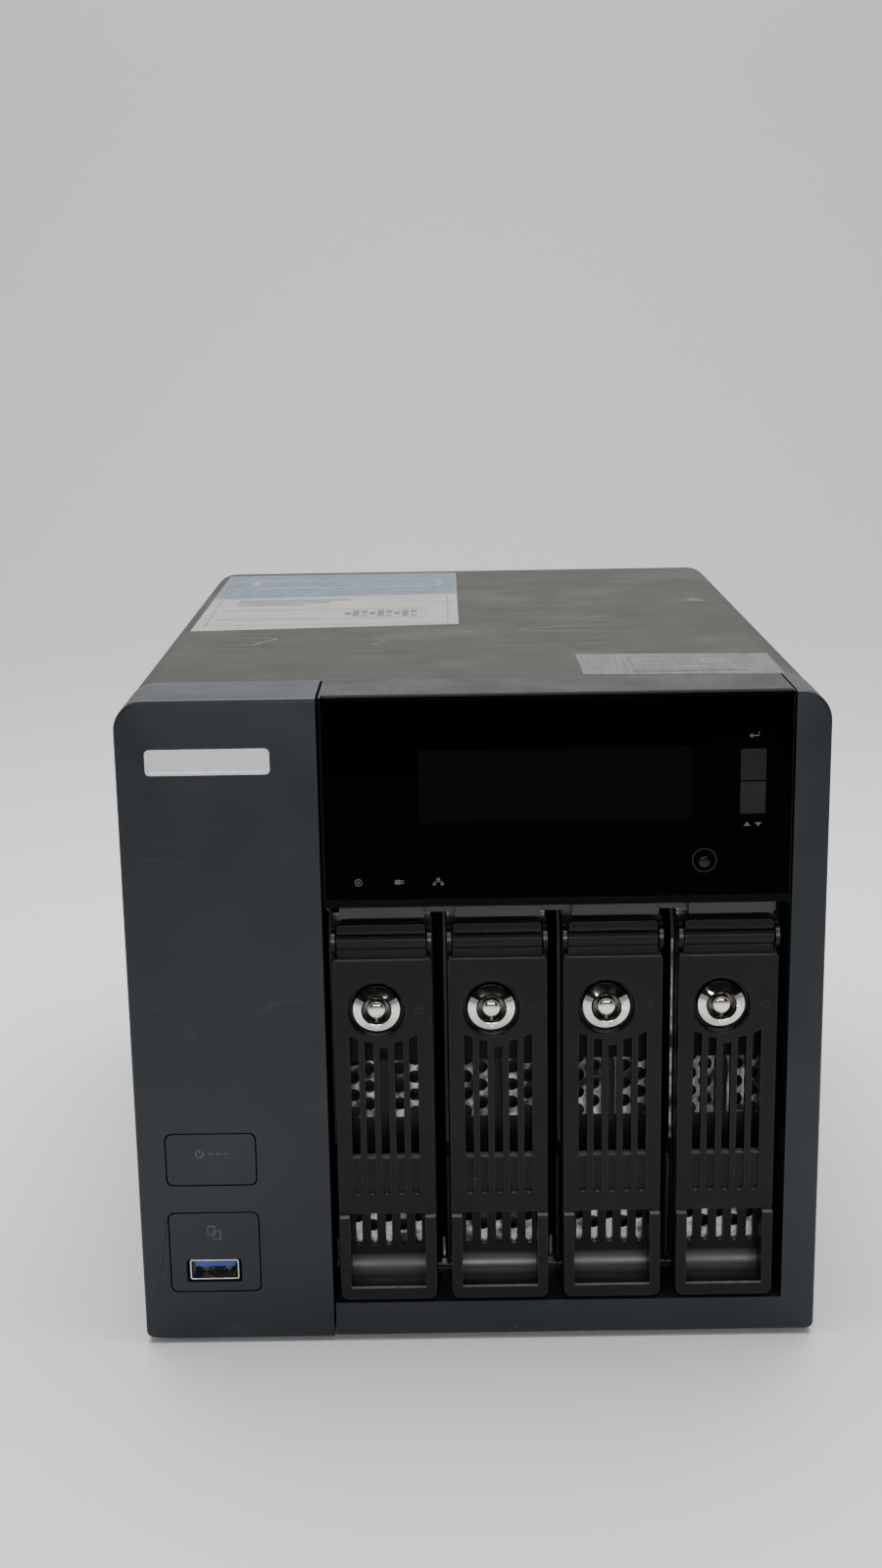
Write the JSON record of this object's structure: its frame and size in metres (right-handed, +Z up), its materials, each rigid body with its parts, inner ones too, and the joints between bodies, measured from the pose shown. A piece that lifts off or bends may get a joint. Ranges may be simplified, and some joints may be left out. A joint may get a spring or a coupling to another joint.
{
  "type": "network attached storage",
  "caption": "Desktop network storage case with lockable hot-swap drive trays, a small display with keys, front buttons and USB, rear fan, network jacks and mains inlet.",
  "frame": {"origin": "on the ground under the middle of the case, at the bottom centre of its bounding box", "axes": "+X to the right seen from the front, +Y to the back, +Z up"},
  "size_m": [0.18, 0.235, 0.177],
  "materials": {
    "cover_steel": "brushed grey-brown",
    "galvanised_steel": "bare zinc-coated sheet",
    "bezel_plastic": "fine-textured dark blue-grey",
    "tray_plastic": "satin black",
    "window_acrylic": "gloss black",
    "light_guide": "milky grey",
    "lcd_glass": "dark glass",
    "chrome": "polished",
    "port_shell": "nickel plated",
    "drive_casting": "cast and machined",
    "circuit_board": "solder mask",
    "fan_plastic": "moulded black",
    "foot_rubber": "matt black"
  },
  "bodies": {
    "chassis": {"base_plate": "galvanised_steel", "outer_cover": "cover_steel", "rear_panel": "galvanised_steel", "drive_cage": "galvanised_steel", "backplane_board": "circuit_board", "mainboard": "circuit_board", "power_supply": "galvanised_steel", "ac_inlet": "tray_plastic", "fan_frame": "fan_plastic", "front_frame": "bezel_plastic", "left_panel": "bezel_plastic", "display_housing": "bezel_plastic", "display_window": "window_acrylic", "lcd_module": "lcd_glass", "front_usb_port": "port_shell", "light_guide": "light_guide", "foot_1": "foot_rubber", "foot_2": "foot_rubber", "foot_3": "foot_rubber", "foot_4": "foot_rubber", "lan_jacks": "port_shell", "rear_usb_ports": "port_shell", "video_port": "port_shell", "cover_screw_1": "galvanised_steel", "cover_screw_2": "galvanised_steel", "cover_screw_3": "galvanised_steel"},
    "tray_1": {"tray_1_sled": "galvanised_steel", "tray_1_front": "tray_plastic", "tray_1_drive": "drive_casting"},
    "tray_1_lever": {"tray_1_lever": "tray_plastic", "tray_1_lock_ring": "chrome"},
    "tray_1_latch": {"tray_1_latch": "tray_plastic"},
    "tray_1_lock": {"tray_1_lock_core": "chrome"},
    "tray_2": {"tray_2_sled": "galvanised_steel", "tray_2_front": "tray_plastic", "tray_2_drive": "drive_casting"},
    "tray_2_lever": {"tray_2_lever": "tray_plastic", "tray_2_lock_ring": "chrome"},
    "tray_2_latch": {"tray_2_latch": "tray_plastic"},
    "tray_2_lock": {"tray_2_lock_core": "chrome"},
    "tray_3": {"tray_3_sled": "galvanised_steel", "tray_3_front": "tray_plastic", "tray_3_drive": "drive_casting"},
    "tray_3_lever": {"tray_3_lever": "tray_plastic", "tray_3_lock_ring": "chrome"},
    "tray_3_latch": {"tray_3_latch": "tray_plastic"},
    "tray_3_lock": {"tray_3_lock_core": "chrome"},
    "tray_4": {"tray_4_sled": "galvanised_steel", "tray_4_front": "tray_plastic", "tray_4_drive": "drive_casting"},
    "tray_4_lever": {"tray_4_lever": "tray_plastic", "tray_4_lock_ring": "chrome"},
    "tray_4_latch": {"tray_4_latch": "tray_plastic"},
    "tray_4_lock": {"tray_4_lock_core": "chrome"},
    "case_fan": {"fan_rotor": "fan_plastic"},
    "psu_fan": {"psu_fan_rotor": "fan_plastic"},
    "power_button": {"power_button": "bezel_plastic"},
    "copy_button": {"copy_button": "bezel_plastic"},
    "enter_button": {"enter_button": "window_acrylic"},
    "select_button": {"select_button": "window_acrylic"}
  },
  "joints": [
    {"name": "tray_1_slide", "type": "slide", "parent": "chassis", "child": "tray_1", "axis": [0, -1, 0], "range_m": [0, 0.12]},
    {"name": "tray_1_lever_swing", "type": "hinge", "parent": "tray_1", "child": "tray_1_lever", "pos_m": [-0.02417, -0.1137, 0.1123], "axis": [-1, 0, 0], "range_deg": [0, 90]},
    {"name": "tray_1_latch_release", "type": "hinge", "parent": "tray_1_lever", "child": "tray_1_latch", "pos_m": [-0.02417, -0.1126, 0.039], "axis": [-1, 0, 0], "range_deg": [0, 8], "stiffness_Nm_per_rad": 0.05},
    {"name": "tray_1_lock_turn", "type": "hinge", "parent": "tray_1_lever", "child": "tray_1_lock", "pos_m": [-0.02583, -0.1153, 0.094], "axis": [0, -1, 0], "range_deg": [0, 90]},
    {"name": "tray_2_slide", "type": "slide", "parent": "chassis", "child": "tray_2", "axis": [0, -1, 0], "range_m": [0, 0.12]},
    {"name": "tray_2_lever_swing", "type": "hinge", "parent": "tray_2", "child": "tray_2_lever", "pos_m": [0.00568, -0.1137, 0.1123], "axis": [-1, 0, 0], "range_deg": [0, 90]},
    {"name": "tray_2_latch_release", "type": "hinge", "parent": "tray_2_lever", "child": "tray_2_latch", "pos_m": [0.00568, -0.1126, 0.039], "axis": [-1, 0, 0], "range_deg": [0, 8], "stiffness_Nm_per_rad": 0.05},
    {"name": "tray_2_lock_turn", "type": "hinge", "parent": "tray_2_lever", "child": "tray_2_lock", "pos_m": [0.00402, -0.1153, 0.094], "axis": [0, -1, 0], "range_deg": [0, 90]},
    {"name": "tray_3_slide", "type": "slide", "parent": "chassis", "child": "tray_3", "axis": [0, -1, 0], "range_m": [0, 0.12]},
    {"name": "tray_3_lever_swing", "type": "hinge", "parent": "tray_3", "child": "tray_3_lever", "pos_m": [0.03553, -0.1137, 0.1123], "axis": [-1, 0, 0], "range_deg": [0, 90]},
    {"name": "tray_3_latch_release", "type": "hinge", "parent": "tray_3_lever", "child": "tray_3_latch", "pos_m": [0.03553, -0.1126, 0.039], "axis": [-1, 0, 0], "range_deg": [0, 8], "stiffness_Nm_per_rad": 0.05},
    {"name": "tray_3_lock_turn", "type": "hinge", "parent": "tray_3_lever", "child": "tray_3_lock", "pos_m": [0.03388, -0.1153, 0.094], "axis": [0, -1, 0], "range_deg": [0, 90]},
    {"name": "tray_4_slide", "type": "slide", "parent": "chassis", "child": "tray_4", "axis": [0, -1, 0], "range_m": [0, 0.12]},
    {"name": "tray_4_lever_swing", "type": "hinge", "parent": "tray_4", "child": "tray_4_lever", "pos_m": [0.06538, -0.1137, 0.1123], "axis": [-1, 0, 0], "range_deg": [0, 90]},
    {"name": "tray_4_latch_release", "type": "hinge", "parent": "tray_4_lever", "child": "tray_4_latch", "pos_m": [0.06538, -0.1126, 0.039], "axis": [-1, 0, 0], "range_deg": [0, 8], "stiffness_Nm_per_rad": 0.05},
    {"name": "tray_4_lock_turn", "type": "hinge", "parent": "tray_4_lever", "child": "tray_4_lock", "pos_m": [0.06373, -0.1153, 0.094], "axis": [0, -1, 0], "range_deg": [0, 90]},
    {"name": "case_fan_spin", "type": "hinge", "parent": "chassis", "child": "case_fan", "pos_m": [0.021, 0.0915, 0.066], "axis": [0, 1, 0], "continuous": true},
    {"name": "psu_fan_spin", "type": "hinge", "parent": "chassis", "child": "psu_fan", "pos_m": [0.0205, 0.0985, 0.14425], "axis": [0, 1, 0], "continuous": true},
    {"name": "power_press", "type": "slide", "parent": "chassis", "child": "power_button", "axis": [0, 1, 0], "range_m": [0, 0.001], "stiffness_N_per_m": 600},
    {"name": "copy_press", "type": "slide", "parent": "chassis", "child": "copy_button", "axis": [0, 1, 0], "range_m": [0, 0.001], "stiffness_N_per_m": 600},
    {"name": "enter_press", "type": "slide", "parent": "chassis", "child": "enter_button", "axis": [0, 1, 0], "range_m": [0, 0.0008], "stiffness_N_per_m": 500},
    {"name": "select_press", "type": "slide", "parent": "chassis", "child": "select_button", "axis": [0, 1, 0], "range_m": [0, 0.0008], "stiffness_N_per_m": 500}
  ]
}
